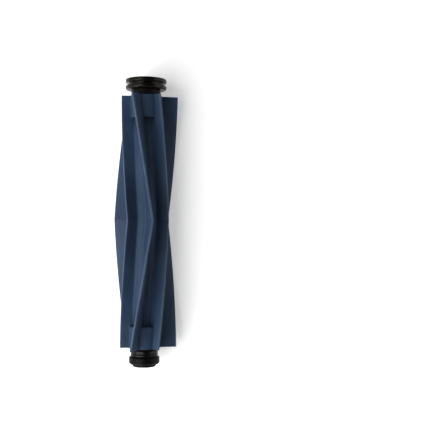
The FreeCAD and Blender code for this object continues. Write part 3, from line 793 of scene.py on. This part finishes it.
def makeDriveCap(finish):
    size = driveCap
    low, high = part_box("drive_cap")
    rim = (high.x - low.x) / 2
    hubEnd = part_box("drive_hub")[0].y
    ringEnd = low.y + size["bossLength"]
    socketCorner = size["socketWidth"] / math.sqrt(2)
    socketBottom = high.y - size["socketFloor"]
    piece = makeTurned("drive_cap_ring", [
        (size["floorHole"], high.y, 0, 0),
        (size["tenonCorner"], high.y, 0, 6),
        (size["tenonCorner"], hubEnd, 0, 6),
        (rim, hubEnd, -size["ringFoot"], 0),
        (rim, ringEnd, -size["ringBevel"], 0),
        (size["bossRadius"], ringEnd, 0, 0),
        (size["bossRadius"], low.y, size["bossRound"], 0),
        (socketCorner, low.y, 0, 4),
        (socketCorner, socketBottom, 0, 4),
        (size["floorHole"], socketBottom, 0, 0),
    ], True, finish)
    dressAs(piece, "brush", "drive_cap")
    print("drive cap made")


# Black plastics and steel

plasticSkin = {"grainScale": 4000.0, "cloudScale": 120.0, "roughSwing": (0.8, 1.25), "bumpDepth": 0.1 * mm}
plastics = {
    "glossBlack": {"base": (0.004, 0.0034, 0.0028, 1), "scuffed": (0.02, 0.018, 0.016, 1),
                   "roughness": 0.2, "specular": 0.17, "scuff": 0.3, "bump": 0.03,
                   "dullWithin": (8.6 * mm, 9.0 * mm, 0.6)},      # recesses are rougher than the rim
    "spoolBlack": {"base": (0.002, 0.0015, 0.0012, 1), "scuffed": (0.02, 0.017, 0.014, 1),
                   "roughness": 0.25, "specular": 0.15, "scuff": 0.3, "bump": 0.05,
                   "tint": (1, 0.9, 0.82, 1)},
    "satinBlack": {"base": (0.004, 0.004, 0.005, 1), "scuffed": (0.015, 0.015, 0.016, 1),
                   "roughness": 0.45, "specular": 0.05, "scuff": 0.3, "bump": 0.1},
    "matteBlack": {"base": (0.003, 0.0026, 0.0023, 1), "scuffed": (0.02, 0.018, 0.016, 1),
                   "roughness": 0.4, "specular": 0.06, "scuff": 0.4, "bump": 0.15},
    "cageNylon": {"base": (0.62, 0.58, 0.48, 1), "scuffed": (0.5, 0.46, 0.38, 1),
                  "roughness": 0.5, "specular": 0.4, "scuff": 0.3, "bump": 0.1},
}


def recessMask(tree, inner, outer, most):
    # grows from nought at the rim to its full value nearer the turning line
    place = addNode(tree, "ShaderNodeTexCoord").outputs["Object"]
    level = vectorCalc(tree, "SUBTRACT", place, (0, 0, axisHeight))
    distance = vectorCalc(tree, "LENGTH", vectorCalc(tree, "MULTIPLY", level, (1, 0, 1)))
    return fade(tree, distance, (inner, outer), (most, 0.0))


def makePlastic(name):
    look = plastics[name]
    finish, tree, shader = newFinish(name, Specular_IOR_Level=look["specular"])
    shader.inputs["Specular Tint"].default_value = look.get("tint", (1, 1, 1, 1))
    skin = placeSkin(tree, Grain_Scale=plasticSkin["grainScale"], Cloud_Scale=plasticSkin["cloudScale"],
                     Scuff_Amount=look["scuff"])
    feed(tree, shader.inputs["Base Color"], blendColour(tree, skin["Scuff"], look["base"], look["scuffed"]))
    low, high = plasticSkin["roughSwing"]
    roughness = spread(tree, skin["Cloud"], look["roughness"] * low, look["roughness"] * high)
    if "dullWithin" in look:
        roughness = calc(tree, "ADD", roughness, recessMask(tree, *look["dullWithin"]))
    feed(tree, shader.inputs["Roughness"], roughness)
    addBump(tree, shader, skin["Grain"], look["bump"], plasticSkin["bumpDepth"])
    return finish


steels = {
    "softSteel": {"base": (0.55, 0.55, 0.56, 1), "roughness": 0.3},
    "bearingSteel": {"base": (0.7, 0.7, 0.71, 1), "roughness": 0.12},
}
steelSkin = {"cloudScale": 200.0, "roughSwing": (0.8, 1.3), "scuff": 0.4, "scuffed": (0.35, 0.35, 0.36, 1)}


def makeSteel(name):
    look = steels[name]
    finish, tree, shader = newFinish(name, Metallic=1.0)
    skin = placeSkin(tree, Cloud_Scale=steelSkin["cloudScale"], Scuff_Amount=steelSkin["scuff"])
    colour = blendColour(tree, skin["Scuff"], look["base"], steelSkin["scuffed"])
    feed(tree, shader.inputs["Base Color"], colour)
    low, high = steelSkin["roughSwing"]
    roughness = spread(tree, skin["Cloud"], look["roughness"] * low, look["roughness"] * high)
    feed(tree, shader.inputs["Roughness"], roughness)
    return finish


def dressNode(node, finish):
    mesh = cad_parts[node].data
    mesh.materials.clear()
    mesh.materials.append(finish)


def makeBlackEnds():
    satin = makePlastic("satinBlack")
    makeSpool(makePlastic("spoolBlack"))
    makeNeck(satin)
    makeHub(makePlastic("glossBlack"))
    makeDriveCap(makePlastic("matteBlack"))
    dressNode("core_tube", satin)


def dressBearing():
    nylon = makePlastic("cageNylon")
    steel = makeSteel("softSteel")
    bearingSteel = makeSteel("bearingSteel")
    finishes = {
        "axle_pin": steel, "retaining_clip": steel, "cap_screw": steel, "bearing_shield_inner": steel,
        "bearing_shield_outer": steel, "bearing_cage": nylon, "bearing_inner_ring": bearingSteel,
        "bearing_outer_ring": bearingSteel,
    }
    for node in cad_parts:
        if node.startswith("ball_"):
            finishes[node] = bearingSteel
    for node, finish in finishes.items():
        dressNode(node, finish)
    print("dressed", len(finishes), "bearing and steel pieces")


# Floor, light and camera

studio = {
    "lensDistance": 518.0 * mm,      # from the lens to the turning line
    "sideStep": 49.8 * mm,           # the brush lies this far left of the picture's middle
    "lengthStep": 1.55 * mm,         # from the sleeve's middle
    "roll": 0.385,
    "fieldHalf": 220 / 778,          # half the picture over the lens distance
    "keySpot": (-0.56, -0.20, 0.80),
    "keySize": 1.1,
    "keyPower": 10.5,
    "fillSpot": (-0.58, -0.72, 0.40),
    "fillSize": 0.7,
    "fillPower": 5.0,
    "backSpot": (0.95, 0.10, 0.30),
    "backSize": 0.8,
    "backPower": 1.8,
    "skyStrength": 0.08,
    "ceiling": 0.06,
    "wallSpan": (0.3, 0.75),         # the walls darken between these heights of view
    "floorHalf": 4.0,
    "floorGap": 0.05 * mm,
    "paper": (0.95, 0.95, 0.95, 1),
    "paperRoughness": 0.9,
    "floorGlow": 0.41,
    "glowSpan": (0.25, 0.9),         # the glow grows to full between these distances
    "sensor": 36.0,
}


def aim(thing, spot, target):
    thing.location = spot
    thing.rotation_mode = "QUATERNION"
    thing.rotation_quaternion = (Vector(target) - Vector(spot)).to_track_quat("-Z", "Y")


def seenRays(tree):
    # one for rays that end in the picture, straight, mirrored or through glass
    rays = addNode(tree, "ShaderNodeLightPath").outputs
    mirrored = calc(tree, "MAXIMUM", rays["Is Glossy Ray"], rays["Is Transmission Ray"])
    return calc(tree, "MAXIMUM", rays["Is Camera Ray"], mirrored)


def makeFloor():
    form = bmesh.new()
    bmesh.ops.create_grid(form, x_segments=1, y_segments=1, size=studio["floorHalf"])
    mesh = bpy.data.meshes.new("floor")
    form.to_mesh(mesh)
    form.free()
    floor = addObject("floor", mesh)
    floor.location.z = cadBox[0].z - studio["floorGap"]
    finish, tree, shader = newFinish("whitePaper", Roughness=studio["paperRoughness"],
                                     Specular_IOR_Level=0.0)
    shader.inputs["Base Color"].default_value = studio["paper"]
    shader.inputs["Emission Color"].default_value = (1, 1, 1, 1)
    # the glow grows with distance, so the floor stays white where the lamps fall off
    place = addNode(tree, "ShaderNodeTexCoord").outputs["Object"]
    glow = fade(tree, vectorCalc(tree, "LENGTH", place), studio["glowSpan"], (studio["floorGlow"], 1.0))
    feed(tree, shader.inputs["Emission Strength"], calc(tree, "MULTIPLY", seenRays(tree), glow))
    mesh.materials.append(finish)
    print("floor laid")


def makeLight():
    for name in ("key", "fill", "back"):
        lamp = bpy.data.lights.new(name, "AREA")
        lamp.shape = "DISK"
        lamp.size = studio[name + "Size"]
        lamp.energy = studio[name + "Power"]
        aim(addObject(name, lamp), studio[name + "Spot"], (0, 0, axisHeight))
    world = bpy.data.worlds.new("studio")
    bpy.context.scene.world = world
    world.use_nodes = True
    tree = world.node_tree
    sky = tree.nodes["Background"]
    # what the picture and its reflections see: white walls that darken towards the ceiling
    heading = addNode(tree, "ShaderNodeSeparateXYZ")
    feed(tree, heading.inputs[0], addNode(tree, "ShaderNodeTexCoord").outputs["Generated"])
    walls = fade(tree, heading.outputs["Z"], studio["wallSpan"], (1.0, studio["ceiling"]))
    extra = calc(tree, "SUBTRACT", walls, studio["skyStrength"])
    feed(tree, sky.inputs["Strength"],
         calc(tree, "ADD", studio["skyStrength"], calc(tree, "MULTIPLY", seenRays(tree), extra)))
    sky.inputs["Color"].default_value = (1, 1, 1, 1)
    print("lamps and walls lit")


def makeCamera():
    lens = bpy.data.cameras.new("camera")
    lens.sensor_width = studio["sensor"]
    lens.lens = studio["sensor"] / 2 / studio["fieldHalf"]
    lens.clip_start = 0.01
    camera = addObject("camera", lens)
    along = sleeveMiddle + studio["lengthStep"]
    camera.location = (studio["sideStep"], along, axisHeight + studio["lensDistance"])
    camera.rotation_euler = (0, 0, math.radians(studio["roll"]))
    bpy.context.scene.camera = camera
    print("camera set")


bpy.context.scene.view_settings.view_transform = "Standard"
makeFinSleeve()
makeBlackEnds()
dressBearing()
makeFloor()
makeLight()
makeCamera()
